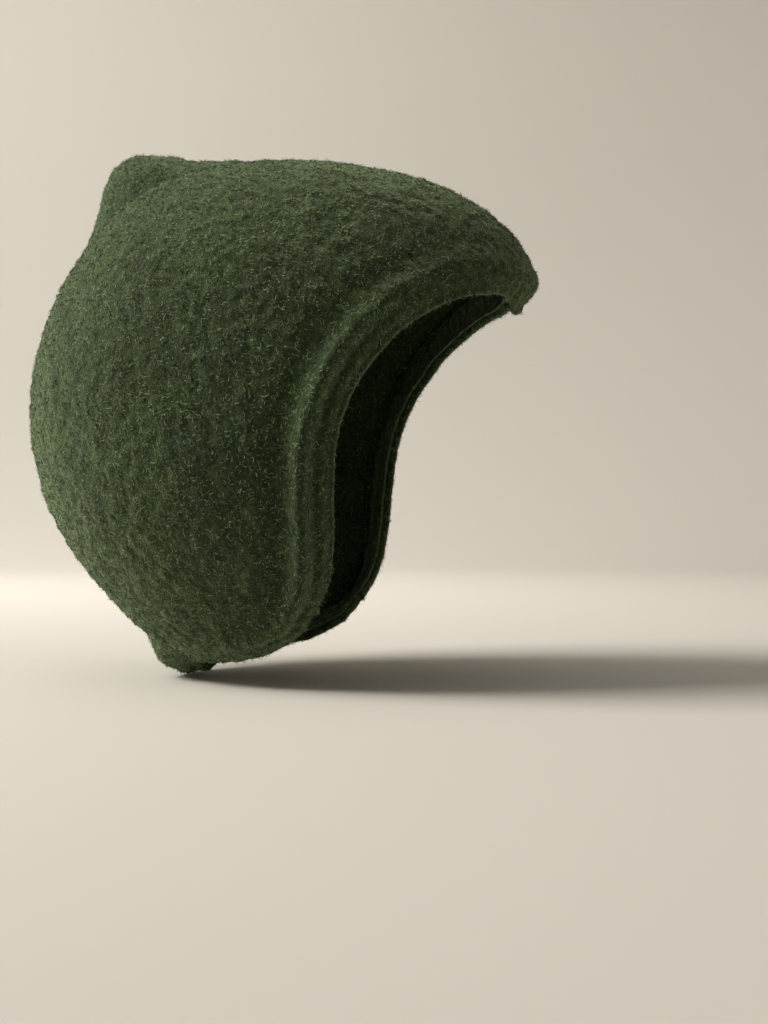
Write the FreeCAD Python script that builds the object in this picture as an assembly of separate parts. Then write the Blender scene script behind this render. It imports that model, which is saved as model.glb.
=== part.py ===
import FreeCAD, Part
import math
import os

# A close-fitting knitted wool cap that covers the ears and the nape, fulled until it is a thick felt.
# Millimetres, +Z up. The face opening looks towards -Y and the wearer's right is at -X.
# The origin is where the top of the head bears on the inside of the crown.

# Driving dimensions of the fabric
FABRIC = 4.5                # thickness of the fulled knit
HEM_LAYER = 3.0             # thickness of the turned-in layer at the edges
HEM_WIDTH = 14.0            # how far the hem is turned in
SEAM_HALF_SHARE = 0.034     # half the width of the two seam allowances, laid open inside: about 7 mm
SEAM_LAYER = 2.5            # thickness of the seam allowances
YARN = 1.4                  # diameter of the sewing yarn
LAYER_GAP = 0.3             # air between two layers
END_GAP = 0.6               # air between two pieces that end at each other

# Driving dimensions of the shape
HALF_WIDTH = 84.0           # from the middle plane to the outside of the ear
SIDE_FULLNESS = 0.82        # under 1 fills the sides out beyond an even oval
OVAL_FADE = 1.5             # how late the ear's oval gives way to the outline, towards the middle plane
EAR_Y, EAR_Z = 2.0, -98.0   # the middle of the head, level with the ear
EAR_OVAL = 104.0            # the even oval that the outline turns into beside the ear
# Outline of the outside in the middle plane, as (y, z), closed round the missing face and neck
OUTLINE = [
    (-106, -58), (-108, -46), (-100, -31), (-86, -17), (-66, -6), (-40, 1.5), (-8, 5), (28, 4),
    (62, -8), (89, -32), (106, -62), (113, -96), (109, -132), (93, -163), (73, -187), (51, -207),
    (10, -232), (-40, -226), (-84, -180), (-104, -110),
]
# The front edge from the forehead to the flap's corner and on to the nape, as (y, z) seen from the side
FACE_EDGE = [
    (-98.5, -53), (-88, -54), (-73.5, -61), (-59, -73), (-44, -93), (-35.5, -115), (-33, -140), (-31.8, -163),
    (-27.5, -181),
]
FLAP_CORNER = (-23, -188.3)
NECK_EDGE = [(-17.5, -195.3), (-4, -203), (14, -207.5), (34, -209)]
FOREHEAD_ANGLE = math.radians(20.5)
NAPE_ANGLE = math.radians(246)

# The peak at the back of the crown and the small corner at the nape
PEAK_ANGLE, PEAK_HEIGHT = math.radians(125), 24.0
PEAK_SPREAD_FRONT, PEAK_SPREAD_BACK = math.radians(13), math.radians(10)
PEAK_REACH_FRONT, PEAK_REACH_BACK = math.radians(18), math.radians(14)
PEAK_BEND_HEIGHT = 6.0                  # the peak's tip bends over this far above the dome
PEAK_BEND_CLEARANCE = math.radians(20)  # slope of the root and of the tip away from the bend, each
NAPE_HEIGHT, NAPE_SPREAD = 8.0, math.radians(5)
NAPE_REACH = math.radians(6)
PEAK_FOOT, NAPE_FOOT = 0.86, 0.88       # share of the way round the ear at which each starts to rise
CORNER_TAPER = 1.2                      # 1 rises straight to the ridge, more rises late
THINNEST = 1.5                          # where a peak thins to this, its piece ends

# The fold line of an ear flap, as (y, z) seen from the side
FOLD_FRONT, FOLD_BACK = (-33, -135), (25, -203)
FOLD_GAP = 1.2
FOLD_MARGIN = 30.0          # the cut runs this far past both ends of the fold line

# Where the hems and seams run, as shares of the fabric or as angles
HEM_START = 0.02            # the hem's turned-in layer starts this share inside the edge
FACE_HEM_RUN = (0.02, 0.95)     # from the forehead to the flap's corner
NECK_HEM_RUN = (0.30, 0.92)     # from the flap to the nape
STITCH_RUN = (0.06, 0.54)
STITCH_ACROSS = (0.55, 0.85)    # a stitch runs between these shares of the hem's width
STITCH_SLANT = 0.008
HEM_STITCHES = 22           # on each side
CROWN_SEAM_START = FOREHEAD_ANGLE + math.radians(9)
BACK_SEAM_END = NAPE_ANGLE - math.radians(4)
SEAM_END_GAP = math.radians(2)  # from each seam's end to the peak

# How finely the shapes are drawn
MIDDLE_SHARE = 0.9993       # where a side ends, about 0.3 mm from the middle plane
GRID = 22                   # points each way through which a whole panel is drawn
HEM_COLUMNS, HEM_ROWS = 4, 10   # points across a hem, and along the neck
SEAM_COLUMNS = 4            # an even number, so that one column lies on the middle plane
CORNER_GRID = 16            # points each way through which a standing corner is drawn, also even
NORMAL_STEP = 0.004         # on the flat disc, for the slope of the fabric
SEARCH_STEPS = 30
REACH_STEP = 0.01
BLOCK_SIZE = 400.0          # larger than the cap


def polar(y, z):
    """Angle round the ear, from straight forward over the top to the back, and distance from it."""
    return math.atan2(z - EAR_Z, EAR_Y - y) % (2 * math.pi), math.hypot(y - EAR_Y, z - EAR_Z)


OUTLINE_POLAR = sorted(polar(y, z) for y, z in OUTLINE)


def hermite(w, start, end, start_slope, end_slope):
    return ((2 * w ** 3 - 3 * w ** 2 + 1) * start + (w ** 3 - 2 * w ** 2 + w) * start_slope
            + (3 * w ** 2 - 2 * w ** 3) * end + (w ** 3 - w ** 2) * end_slope)


def outline_radius(angle):
    """Distance from the ear axis to the outline, smooth through its points."""
    count = len(OUTLINE_POLAR)
    turn = 2 * math.pi
    angle %= turn
    after = next((i for i, point in enumerate(OUTLINE_POLAR) if point[0] > angle), 0)
    angles, radii = [], []
    for step in (-2, -1, 0, 1):
        near_angle, near_radius = OUTLINE_POLAR[(after + step) % count]
        near_angle += turn * round((angle - near_angle) / turn)
        angles.append(near_angle)
        radii.append(near_radius)
    span = angles[2] - angles[1]
    start_slope = (radii[2] - radii[0]) / (angles[2] - angles[0]) * span
    end_slope = (radii[3] - radii[1]) / (angles[3] - angles[1]) * span
    return hermite((angle - angles[1]) / span, radii[1], radii[2], start_slope, end_slope)


def side_radius(angle, share):
    """Distance from the ear axis at a share 0 (ear) to 1 (middle plane) of the way round."""
    rounded = EAR_OVAL + (outline_radius(angle) - EAR_OVAL) * share ** OVAL_FADE
    return rounded * math.sin(share * math.pi / 2)


def peak_rise(angle, share):
    spread = PEAK_SPREAD_FRONT if angle < PEAK_ANGLE else PEAK_SPREAD_BACK
    fall = math.exp(-((angle - PEAK_ANGLE) / spread) ** 2)
    return PEAK_HEIGHT * fall * max(0.0, (share - PEAK_FOOT) / (1 - PEAK_FOOT)) ** CORNER_TAPER


def nape_rise(angle, share):
    fall = math.exp(-((angle - NAPE_ANGLE) / NAPE_SPREAD) ** 2)
    return NAPE_HEIGHT * fall * max(0.0, (share - NAPE_FOOT) / (1 - NAPE_FOOT)) ** CORNER_TAPER


def no_rise(angle, share):
    return 0.0


def dome(angle, share, rise=no_rise):
    """A point on the outside. A share over 1 is on the wearer's left."""
    near = min(share, 2 - share)
    lateral = HALF_WIDTH * abs(math.cos(near * math.pi / 2)) ** SIDE_FULLNESS
    if share <= 1:
        lateral = -lateral
    reach = side_radius(angle, near) + rise(angle, near)
    return FreeCAD.Vector(lateral, EAR_Y - reach * math.cos(angle), EAR_Z + reach * math.sin(angle))


def on_disc(angle, share):
    return (share * math.cos(angle), share * math.sin(angle))


def off_disc(place):
    return (math.atan2(place[1], place[0]) % (2 * math.pi), math.hypot(*place))


def disc_place(y, z):
    """The place on the flat disc round the ear of a point seen from the side."""
    angle, distance = polar(y, z)
    low, high = 0.0, 1.0
    for _ in range(SEARCH_STEPS):
        middle = (low + high) / 2
        if side_radius(angle, middle) < distance:
            low = middle
        else:
            high = middle
    return on_disc(angle, low)


def inward(place, depth, rise=no_rise):
    """A point at a depth below the outside, along its normal."""
    def beside(ahead, above):
        return dome(*off_disc((place[0] + ahead, place[1] + above)), rise)

    ahead = beside(NORMAL_STEP, 0) - beside(-NORMAL_STEP, 0)
    above = beside(0, NORMAL_STEP) - beside(0, -NORMAL_STEP)
    normal = above.cross(ahead)
    normal.normalize()
    return beside(0, 0) + normal * depth


def through(places, share):
    """A smooth line through places, at a share of its length."""
    lengths = [0.0]
    for a, b in zip(places, places[1:]):
        lengths.append(lengths[-1] + math.dist(a, b))
    target = share * lengths[-1]
    last = len(places) - 1
    i = min(next((k for k in range(last) if lengths[k + 1] >= target), last - 1), last - 1)
    before, after = max(i - 1, 0), min(i + 2, last)
    span = lengths[i + 1] - lengths[i]
    w = (target - lengths[i]) / span
    place = []
    for axis in (0, 1):
        start_slope = (places[i + 1][axis] - places[before][axis]) / (lengths[i + 1] - lengths[before]) * span
        end_slope = (places[after][axis] - places[i][axis]) / (lengths[after] - lengths[i]) * span
        place.append(hermite(w, places[i][axis], places[i + 1][axis], start_slope, end_slope))
    return tuple(place)


FOREHEAD = on_disc(FOREHEAD_ANGLE, 1)
PEAK = on_disc(PEAK_ANGLE, 1)
NAPE = on_disc(NAPE_ANGLE, 1)
CORNER = disc_place(*FLAP_CORNER)
FACE_LINE = [FOREHEAD] + [disc_place(y, z) for y, z in FACE_EDGE] + [CORNER]
NECK_LINE = [CORNER] + [disc_place(y, z) for y, z in NECK_EDGE] + [NAPE]


def cloth(u, v):
    """Place on the disc of the fabric: u from the face edge to the back seam, v from the top to the neck."""
    face, neck = through(FACE_LINE, v), through(NECK_LINE, u)
    top = on_disc(FOREHEAD_ANGLE + (PEAK_ANGLE - FOREHEAD_ANGLE) * u, 1)
    back = on_disc(PEAK_ANGLE + (NAPE_ANGLE - PEAK_ANGLE) * v, 1)
    return tuple((1 - u) * face[k] + u * back[k] + (1 - v) * top[k] + v * neck[k]
                 - (1 - u) * (1 - v) * FOREHEAD[k] - u * (1 - v) * PEAK[k]
                 - (1 - u) * v * CORNER[k] - u * v * NAPE[k] for k in (0, 1))


def reach_from(edge, towards, distance):
    """Share of the way from one edge of the fabric to the other that is a distance in millimetres."""
    share, travelled = 0.0, 0.0
    last = inward(cloth(*edge), 0)
    while travelled < distance:
        share += REACH_STEP
        here = inward(cloth(*(edge[k] + (towards[k] - edge[k]) * share for k in (0, 1))), 0)
        travelled += last.distanceToPoint(here)
        last = here
    return share


def drawn_face(points):
    surface = Part.BSplineSurface()
    surface.interpolate(points)
    return surface


def closed_solid(outside, inside):
    """The solid between two like grids of points."""
    upper, lower = drawn_face(outside), drawn_face(inside)
    faces = [upper.toShape(), lower.toShape()]
    u0, u1, v0, v1 = upper.bounds()
    p0, p1, q0, q1 = lower.bounds()
    sides = [
        (upper.uIso(u0), lower.uIso(p0)), (upper.uIso(u1), lower.uIso(p1)),
        (upper.vIso(v0), lower.vIso(q0)), (upper.vIso(v1), lower.vIso(q1)),
    ]
    for high, low in sides:
        faces.append(Part.makeRuledSurface(high.toShape(), low.toShape()))
    shell = Part.makeShell(faces)
    shell.sewShape()
    solid = Part.makeSolid(shell)
    if solid.Volume < 0:
        solid.reverse()
    return solid


def layer(place_at, top, bottom, columns, rows, rise=no_rise):
    """A layer of fabric between two depths, over places given by two shares 0 to 1."""
    grids = []
    for depth in (top, bottom):
        grids.append([[inward(place_at(i / columns, j / rows), depth, rise) for j in range(rows + 1)]
                      for i in range(columns + 1)])
    return closed_solid(*grids)


def mirrored(shape):
    return shape.mirror(FreeCAD.Vector(0, 0, 0), FreeCAD.Vector(1, 0, 0))


def save(name, shape):
    shape.exportStep("parts/" + name + ".step")


def save_pair(name, shape):
    save(name + "_right", shape)
    save(name + "_left", mirrored(shape))


def middle_gap(place):
    """Keep a place just clear of the middle plane."""
    angle, share = off_disc(place)
    return on_disc(angle, min(share, MIDDLE_SHARE))


def block(corner, along, normal, length):
    """A block of a length along one direction, on the far side of a plane through its corner."""
    across = normal.cross(along)
    shape = Part.makeBox(length, BLOCK_SIZE, BLOCK_SIZE)
    turned = FreeCAD.Rotation(along, across, normal, "ZXY")
    shape.Placement = FreeCAD.Placement(corner - across * BLOCK_SIZE / 2, turned)
    return shape


def split_at_fold(shape):
    """A right-hand piece above the fold line of the ear flap, and the flap's corner below it."""
    front, back = FreeCAD.Vector(0, *FOLD_FRONT), FreeCAD.Vector(0, *FOLD_BACK)
    along = back - front
    length = along.Length + 2 * FOLD_MARGIN
    along.normalize()
    down = FreeCAD.Vector(1, 0, 0).cross(along)
    if down.z > 0:
        down = -down
    start = front - along * FOLD_MARGIN
    corner = shape.common(block(start + down * FOLD_GAP / 2, along, down, length))
    rest = shape.cut(block(start - down * FOLD_GAP / 2, along, down, length))
    return rest, corner


def side_panels():
    panel = layer(lambda a, b: middle_gap(cloth(a, b)), 0, FABRIC, GRID, GRID)
    rest, corner = split_at_fold(panel)
    save_pair("side_panel", rest)
    save_pair("ear_flap", corner)


def between(ends, share):
    return ends[0] + (ends[1] - ends[0]) * share


def face_hems():
    top, bottom = FABRIC + LAYER_GAP, FABRIC + LAYER_GAP + HEM_LAYER

    def place_at(a, b):
        v = between(FACE_HEM_RUN, b)
        return middle_gap(cloth(reach_from((0, v), (1, v), HEM_WIDTH) * between((HEM_START, 1), a), v))

    rest, corner = split_at_fold(layer(place_at, top, bottom, HEM_COLUMNS, GRID))
    save_pair("face_hem", rest)
    save_pair("flap_hem", corner)


def neck_hems():
    top, bottom = FABRIC + LAYER_GAP, FABRIC + LAYER_GAP + HEM_LAYER

    def place_at(a, b):
        u = between(NECK_HEM_RUN, b)
        return cloth(u, 1 - reach_from((u, 1), (u, 0), HEM_WIDTH) * between((HEM_START, 1), a))

    save_pair("neck_hem", split_at_fold(layer(place_at, top, bottom, HEM_COLUMNS, HEM_ROWS))[0])


def seam(name, start, end):
    """Seam allowances laid open inside along the middle plane."""
    grids = []
    for depth in (FABRIC + LAYER_GAP, FABRIC + LAYER_GAP + SEAM_LAYER):
        rows = []
        for i in range(GRID + 1):
            angle = between((start, end), i / GRID)
            row = []
            for j in range(SEAM_COLUMNS + 1):
                share = between((1 - SEAM_HALF_SHARE, 1 + SEAM_HALF_SHARE), j / SEAM_COLUMNS)
                point = inward(on_disc(angle, min(share, 2 - share, MIDDLE_SHARE)), depth)
                if share > 1:
                    point.x = -point.x
                row.append(point)
            row[SEAM_COLUMNS // 2].x = 0
            rows.append(row)
        grids.append(rows)
    save(name, closed_solid(*grids))


def standing_corner(rise, start, end):
    """The pinched-up corner between two angles, solid where its two layers of fabric are fulled together."""
    outside, inside = [], []
    for i in range(CORNER_GRID + 1):
        angle = between((start, end), i / CORNER_GRID)
        edge = next(k / 1000 for k in range(800, 1000) if rise(angle, k / 1000) >= THINNEST)
        upper, lower = [], []
        for j in range(CORNER_GRID + 1):
            share = between((edge, 2 - edge), j / CORNER_GRID)
            upper.append(dome(angle, share, rise))
            lower.append(inward(on_disc(angle, share), -LAYER_GAP))
        upper[CORNER_GRID // 2].x = lower[CORNER_GRID // 2].x = 0
        outside.append(upper)
        inside.append(lower)
    return closed_solid(outside, inside)


def peak():
    corner = standing_corner(peak_rise, PEAK_ANGLE - PEAK_REACH_FRONT, PEAK_ANGLE + PEAK_REACH_BACK)
    up = FreeCAD.Vector(0, -math.cos(PEAK_ANGLE), math.sin(PEAK_ANGLE))
    along = FreeCAD.Vector(0, math.sin(PEAK_ANGLE), math.cos(PEAK_ANGLE))
    bend = FreeCAD.Vector(0, EAR_Y, EAR_Z) + up * (outline_radius(PEAK_ANGLE) + PEAK_BEND_HEIGHT)
    start = bend - along * BLOCK_SIZE / 2
    root, tip = corner, corner
    for lean in (-PEAK_BEND_CLEARANCE, PEAK_BEND_CLEARANCE):
        normal = up * math.cos(lean) + FreeCAD.Vector(math.sin(lean), 0, 0)
        tip = tip.common(block(start + up * END_GAP, along, normal, BLOCK_SIZE))
        root = root.cut(block(start - up * END_GAP, along, normal, BLOCK_SIZE))
    save("peak_root", root)
    save("peak_tip", tip)


def nape_corner():
    save("nape_corner", standing_corner(nape_rise, NAPE_ANGLE - NAPE_REACH, NAPE_ANGLE))


def hem_stitches():
    """Slanting stitches over the turned-in edge of the face hem."""
    depth = FABRIC + 2 * LAYER_GAP + HEM_LAYER + YARN / 2
    stitches = []
    for k in range(HEM_STITCHES):
        v = between(STITCH_RUN, k / (HEM_STITCHES - 1))
        width = reach_from((0, v), (1, v), HEM_WIDTH)
        start = inward(cloth(STITCH_ACROSS[0] * width, v), depth)
        end = inward(cloth(STITCH_ACROSS[1] * width, v + STITCH_SLANT), depth)
        along = end - start
        stitches.append(Part.makeCylinder(YARN / 2, along.Length, start, along))
    save_pair("hem_stitches", Part.makeCompound(stitches))


os.makedirs("parts", exist_ok=True)
side_panels()
face_hems()
neck_hems()
seam("crown_seam", CROWN_SEAM_START, PEAK_ANGLE - SEAM_END_GAP)
seam("back_seam", PEAK_ANGLE + SEAM_END_GAP, BACK_SEAM_END)
peak()
nape_corner()
hem_stitches()
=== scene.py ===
import math

import bmesh
import bpy
import numpy as np
from bpy.props import FloatProperty, FloatVectorProperty, IntProperty, PointerProperty, StringProperty
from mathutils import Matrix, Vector


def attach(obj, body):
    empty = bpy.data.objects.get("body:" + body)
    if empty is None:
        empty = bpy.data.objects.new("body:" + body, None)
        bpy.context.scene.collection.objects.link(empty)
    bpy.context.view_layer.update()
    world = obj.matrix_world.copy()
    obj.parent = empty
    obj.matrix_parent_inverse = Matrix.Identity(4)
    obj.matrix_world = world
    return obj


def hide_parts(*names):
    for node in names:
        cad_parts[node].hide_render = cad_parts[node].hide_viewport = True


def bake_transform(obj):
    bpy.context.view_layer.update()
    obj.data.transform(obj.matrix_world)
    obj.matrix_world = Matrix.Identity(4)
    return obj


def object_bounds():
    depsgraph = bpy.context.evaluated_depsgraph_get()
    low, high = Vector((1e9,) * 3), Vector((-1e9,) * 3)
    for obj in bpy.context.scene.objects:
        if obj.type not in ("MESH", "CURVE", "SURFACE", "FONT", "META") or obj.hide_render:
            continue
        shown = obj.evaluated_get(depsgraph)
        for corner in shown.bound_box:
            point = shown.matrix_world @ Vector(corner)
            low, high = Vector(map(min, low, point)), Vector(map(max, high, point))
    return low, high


bl_info = {
    "name": "Fulled wool cap",
    "version": (1, 0, 0),
    "blender": (4, 5, 0),
    "location": "3D View > Sidebar > Wool Cap",
    "description": "Builds a thick fulled-wool cap with ear flaps and a small peak around its packed frame",
    "category": "Object",
}

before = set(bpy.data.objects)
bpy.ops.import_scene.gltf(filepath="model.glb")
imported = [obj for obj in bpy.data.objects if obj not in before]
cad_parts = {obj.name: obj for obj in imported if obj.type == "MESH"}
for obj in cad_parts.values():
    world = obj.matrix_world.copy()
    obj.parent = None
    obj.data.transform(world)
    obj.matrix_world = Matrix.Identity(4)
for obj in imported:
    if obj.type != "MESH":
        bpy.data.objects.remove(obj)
FRAME_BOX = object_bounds()

MM = 0.001
RIGHT, LEFT = "right", "left"
MIRROR = np.array([-1, 1, 1])

# ---------------------------------------------------------------- shape of the cap, in millimetres
# The frame's outline in the middle plane and its edges, as (y, z) seen from the side. The outline's second
# point stands a little further in than the frame's, because thick felt rounds off at the brow.
EAR = (2.0, -98.0)
EAR_OVAL = 104.0
OUTLINE = [
    (-106, -58), (-106.8, -47), (-100, -31), (-86, -17), (-66, -6), (-40, 1.5), (-8, 5), (28, 4),
    (62, -8), (89, -32), (106, -62), (113, -96), (109, -132), (93, -163), (73, -187), (51, -207),
    (10, -232), (-40, -226), (-84, -180), (-104, -110),
]
FACE_EDGE = [
    (-98.5, -53), (-88, -54), (-73.5, -61), (-59, -73), (-44, -93), (-35.5, -115), (-33, -140),
    (-31.8, -163), (-27.5, -181),
]
FLAP_CORNER = (-23, -188.3)
NECK_EDGE = [(-17.5, -195.3), (-4, -203), (14, -207.5), (34, -209)]
FOREHEAD_ANGLE, PEAK_ANGLE, NAPE_ANGLE = math.radians(20.5), math.radians(125), math.radians(246)
# How full the dome is between its outline and the ear, seen from the side and from the front
OVAL_CURVE, WIDTH_CURVE = 1.5, 0.82

# How far the peak and the nape's corner stand above the dome along their runs, as (degrees, millimetres)
PEAK_RUN = [
    (94, 0), (101, 2.2), (107, 5.2), (112, 10), (116, 15.4), (119.8, 20.4), (122.8, 23.2), (125, 23.6),
    (127.3, 22.2), (130, 18.6), (134.5, 11.5), (139.4, 5.6), (147, 0),
]
NAPE_RUN = [
    (235, 0), (239.5, 0.3), (242, 2.4), (244.3, 5.9), (246.8, 6.8), (249.3, 3.4), (251, -1.2), (252.5, -4.4),
]
# Half the thickness of each at its foot, as a share of the way round the ear
PEAK_HALF_SHARE, NAPE_HALF_SHARE = 0.13, 0.26
RIDGE_ROUND, PEAK_SIDE_CURVE = 0.02, 0.75
PEAK_FABRIC, NAPE_FABRIC = 2.2, 4.4
# Beside the peak's foot the dome swells up, past a crease. Each is its share of the height, its distance
# from the middle plane and its width, the last two as shares of the way round the ear.
SHOULDER_ANGLE, SHOULDER_SPREAD = math.radians(122), math.radians(17)
SHOULDER_SWELL, SHOULDER_CREASE = (0.35, 0.23, 0.06), (0.75, 0.14, 0.04)

# The felt's unevenness, as (wavelength, share of the height): slow swells from wear, and pebbles
SWELL_WAVES, PEBBLE_WAVES = ((60, 1.0), (17, 0.4)), ((6.5, 1.0), (3.2, 0.45))
# How strongly the hem's ridge shows and how far its edge rolls in, at shares of each edge's length
RIDGE_BY_FACE, RIDGE_BY_NECK = ((0, 0.3, 0.55, 1), (0.1, 0.2, 1, 1)), ((0, 0.35, 1), (1, 0.5, 0.1))
ROLL_BY_FACE, ROLL_BY_NECK = ((0, 0.3, 0.55, 1), (0.8, 0.9, 1, 1)), ((0, 0.35, 1), (1, 0.62, 0.32))
# The roll ends at this share of the ridge's distance from the edge, and steepens towards the edge
ROLL_REACH, ROLL_CURVE = 0.92, 1.6
RIDGE_WIDTH = 3.4
# The valley past the ridge and the groove before it: their depths are shares of the ridge's height
VALLEY_DEPTH, VALLEY_PAST_RIDGE, VALLEY_WIDTH = 0.5, 9.0, 5.0
GROOVE_DEPTH, GROOVE_SHARE, GROOVE_WIDTH = 0.55, 0.52, 1.9

# Turned-in hems, as in the frame, and the shares of each edge that they run along
HEM_LAYER, HEM_WIDTH, LAYER_GAP = 3.0, 14.0, 0.3
FACE_HEM_RUN, NECK_HEM_RUN = (0.02, 0.97), (0.10, 0.92)
# Stitches of the face hem: where they run along the edge, how far in each starts and ends, and its slant
STITCHES, YARN = 22, 1.4
STITCH_RUN, STITCH_ENDS, STITCH_SLANT = (0.06, 0.54), (0.55, 0.85), 0.008
# Seam allowances, as in the frame
SEAM_LAYER, SEAM_HALF_SHARE = 2.5, 0.034
SEAM_RUNS = (
    ("crown_seam", FOREHEAD_ANGLE + math.radians(9), PEAK_ANGLE - math.radians(2)),
    ("back_seam", PEAK_ANGLE + math.radians(2), NAPE_ANGLE - math.radians(4)),
)

# ---------------------------------------------------------------- fineness of the meshes
EDGE_FINER = 1.25          # columns crowd towards the face edge by this power
RIM_POINTS, RIM_STEPS = 260, 6
CORNER_COLUMNS, CORNER_ROWS = 96, 72
FACE_HEM_STEPS, NECK_HEM_STEPS, BAND_STEPS = 151, 91, 10
SEAM_STEPS, SEAM_ACROSS = 121, 13
STITCH_RINGS, STITCH_AROUND = 15, 12

# ---------------------------------------------------------------- fibres, in millimetres
# Kinds of fibre: the deep kind is painted shade, and the pale kind is the heather's pale wool brightened as
# painted highlight
FIBRE_KINDS = ("pale", "wool", "deep", "olive", "blue")
FIBRE_SHARES = (0.27, 0.18, 0.46, 0.05, 0.04)
FIBRE_TAPERS = (1.0, 0.85, 0.6, 0.0)
FIBRE_SINK = 0.35
FIBRE_LIFT = (0.08, 0.75)          # radians above the felt
# Widths and lengths are multiples of those in the settings. Curl and wander are the spread of a fibre's turn
# at its bends, in radians, and droop is the most that a bend leans it back to the felt.
FIBRE_WIDTHS, FIBRE_LENGTHS, LONG_FIBRE = (0.6, 1.15), (0.55, 1.35), 1.4
FIBRE_CURL, FIBRE_WANDER, FIBRE_DROOP = 1.1, 0.3, 0.35
HEM_FIBRES, SEAM_FIBRES = 1.3, 1.5          # spacing on the hidden layers
MOST_FIBRES = 12000          # in one piece, so that its mesh stays under 200,000 triangles

# ---------------------------------------------------------------- backdrop and light, in metres and watts
FLOOR_GAP = 0.001
FLOOR_RADIUS, CURVE_RADIUS, WALL_HEIGHT = 1.2, 0.9, 2.6
CURVE_STEPS, BACKDROP_AROUND = 12, 96
WORLD_COLOUR, WORLD_STRENGTH = "f4efe6", 0.13
# Name, place, width, power, spread in degrees, colour and, unless it is the cap, what it is aimed at
LIGHTS = (
    ("Window", (-0.42, 1.3, 1.0), 0.85, 13.5, 100, "fffaf2", None),
    ("Top", (-0.1, 0.3, 1.3), 1.2, 4.0, 180, "fffbf5", None),
    ("Backdrop wash", (0.45, 0.7, 0.9), 1.0, 19.0, 180, "fffaf3", (2.1, 0.8, 0.25)),
)


def length_setting(name, description, millimetres):
    return FloatProperty(name=name, description=description, default=millimetres * MM, unit="LENGTH")


def colour_setting(name, description, code):
    return StringProperty(name=name, description=f"{description}, sRGB hex", default=code)


class CapShape(bpy.types.PropertyGroup):
    """Sizes of the felt and its edges"""
    half_width: length_setting("Half width", "From the middle plane to the outside of the ear", 84)
    fabric: length_setting("Felt thickness", "Thickness of the fulled knit", 4.5)
    turn_in: length_setting("Turned-in edge", "How far the edge rolls in towards the face", 7.0)
    ridge: length_setting("Hem ridge", "Height of the ridge that the hem makes beside the edge", 3.0)
    ridge_place: length_setting("Ridge place", "Distance of the ridge from the edge", 11.5)
    shoulder: length_setting("Shoulder", "How far the dome swells up beside the foot of the peak", 4.0)
    swell: length_setting("Swell", "Height of the slow hollows and swells of the worn felt", 0.5)
    pebble: length_setting("Pebble", "Height of the pebbled surface left by the fulled stitches", 0.3)
    columns: IntProperty(
        name="Columns", description="Faces across a side, face edge to back seam", default=170)
    rows: IntProperty(name="Rows", description="Faces down a side, crown to neck", default=190)


class FeltLook(bpy.types.PropertyGroup):
    """Colours and grain of the felt"""
    # Painted shade: the darkest wool colour stands for the shade in the gaps between fibres
    deep: colour_setting("Deep wool", "Wool in the gaps between fibres", "10190c")
    middle: colour_setting("Wool", "The wool's main colour", "243319")
    # Partly painted highlight: the heather's pale wool, brightened for the curls that catch the light
    pale: colour_setting("Pale wool", "Fibres that catch the light", "4a5f3a")
    olive: colour_setting("Olive wool", "Olive flecks of the heather mix", "454f2c")
    blue: colour_setting("Blue wool", "Blue-green flecks of the heather mix", "243d38")
    # Partly painted highlight: the heather's pale wool, brightened for fibres on top of the nap
    fibre_pale: colour_setting("Pale fibre", "Fibre on top of the nap", "93a783")
    fibre_wool: colour_setting("Fibre", "Fibre of the wool's own colour", "3a4b30")
    # Painted shade: the near-black fibre stands for the shade low in the nap
    fibre_deep: colour_setting("Deep fibre", "Fibre low in the nap", "0b1208")
    fibre_olive: colour_setting("Olive fibre", "Olive fibre of the mix", "626a43")
    fibre_blue: colour_setting("Blue fibre", "Blue-green fibre of the mix", "2d4a42")
    curl: length_setting("Curl", "Width of one curl of fibre on the surface", 1.5)
    fleck: length_setting("Fleck", "Size of a fleck of the heather mix", 7)


class FuzzSettings(bpy.types.PropertyGroup):
    """The loose fibres that stand out of the felt"""
    spacing: length_setting("Spacing", "Mean distance between fibres", 0.95)
    inside_spacing: length_setting("Inside spacing", "Mean distance between fibres inside the cap", 1.6)
    length: length_setting("Length", "Mean length of a short fibre", 2.3)
    width: length_setting("Width", "Width of a fibre, drawn coarser than wool so that it shows", 0.3)
    long_share: FloatProperty(
        name="Long share", description="Share of fibres that stand out long", default=0.02, min=0, max=1)


class StageSettings(bpy.types.PropertyGroup):
    """Camera and backdrop"""
    distance: FloatProperty(
        name="Distance", description="Camera to the middle plane", default=0.62, unit="LENGTH")
    azimuth: FloatProperty(
        name="Azimuth", description="Side that the camera stands on", default=math.radians(280),
        subtype="ANGLE")
    aim: FloatVectorProperty(
        name="Aim", description="Where the camera looks", default=(0, -0.041, -0.144), unit="LENGTH")
    field: length_setting("Field", "Height of the picture at the middle plane", 440.32)
    backdrop: colour_setting("Backdrop", "Paper backdrop", "d1cec7")


# ---------------------------------------------------------------- the dome and the flat pattern on it

def polar(y, z):
    """Angle round the ear, from straight forward over the top to the back, and distance from it."""
    return math.atan2(z - EAR[1], EAR[0] - y) % (2 * math.pi), math.hypot(y - EAR[0], z - EAR[1])


OUTLINE_POLAR = np.array(sorted(polar(y, z) for y, z in OUTLINE))


def hermite(w, start, end, start_slope, end_slope):
    """A smooth step from start to end, leaving and arriving at the given slopes."""
    return ((2 * w ** 3 - 3 * w ** 2 + 1) * start + (w ** 3 - 2 * w ** 2 + w) * start_slope
            + (3 * w ** 2 - 2 * w ** 3) * end + (w ** 3 - w ** 2) * end_slope)


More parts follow.
